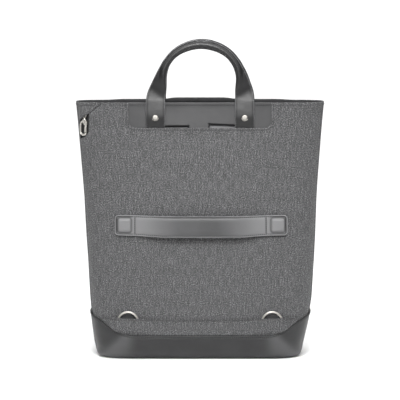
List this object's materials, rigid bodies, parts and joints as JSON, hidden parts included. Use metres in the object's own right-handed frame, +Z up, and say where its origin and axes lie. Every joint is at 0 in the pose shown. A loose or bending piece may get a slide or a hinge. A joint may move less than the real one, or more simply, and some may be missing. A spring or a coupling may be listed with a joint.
{
  "type": "convertible backpack",
  "caption": "Tote-shaped convertible backpack of grey cloth with a leather base, two leather handles, a luggage strap, stowed shoulder straps, D-rings and a snap hook.",
  "frame": {"origin": "on the floor, under the middle of the bag's bounding box", "axes": "X to the right of the strap side, Y away from the strap side, Z up"},
  "size_m": [0.396, 0.1456, 0.5051],
  "materials": {
    "bag_cloth": "matt woven synthetic cloth, grey",
    "lining_cloth": "thin plain-woven lining, near black",
    "bag_leather": "fine-grained dark grey leather, half matt",
    "webbing": "woven webbing, near black",
    "nickel": "polished nickel plating on cast and drawn metal"
  },
  "bodies": {
    "bag": {"back_panel": "bag_cloth", "strap_pocket_panel": "bag_cloth", "corner_flap": "bag_cloth", "front_panel": "bag_cloth", "side_panel_left": "bag_cloth", "side_panel_right": "bag_cloth", "lower_band": "bag_cloth", "lining": "lining_cloth", "leather_base": "bag_leather", "handle_patch": "bag_leather", "handle_back": "bag_leather", "handle_front": "bag_leather", "luggage_strap": "bag_leather", "shoulder_strap_left": "bag_leather", "shoulder_strap_right": "bag_leather", "snap_hook": "nickel", "snap_hook_pin": "nickel", "snap_hook_loop": "webbing", "rivet_back_left": "nickel", "rivet_back_right": "nickel", "rivet_front_left": "nickel", "rivet_front_right": "nickel", "d_ring_left": "nickel", "d_ring_right": "nickel", "d_ring_loop_left": "webbing", "d_ring_loop_right": "webbing"},
    "gate": {"snap_hook_gate": "nickel"}
  },
  "joints": [
    {"name": "snap_hook_gate_hinge", "type": "hinge", "parent": "bag", "child": "gate", "pos_m": [-0.18162, -0.01838, 0.37406], "axis": [-0.6607, -0.7505, 0.0175], "range_deg": [-20, 0], "stiffness_Nm_per_rad": 0.02, "springref_deg": 5.73}
  ]
}
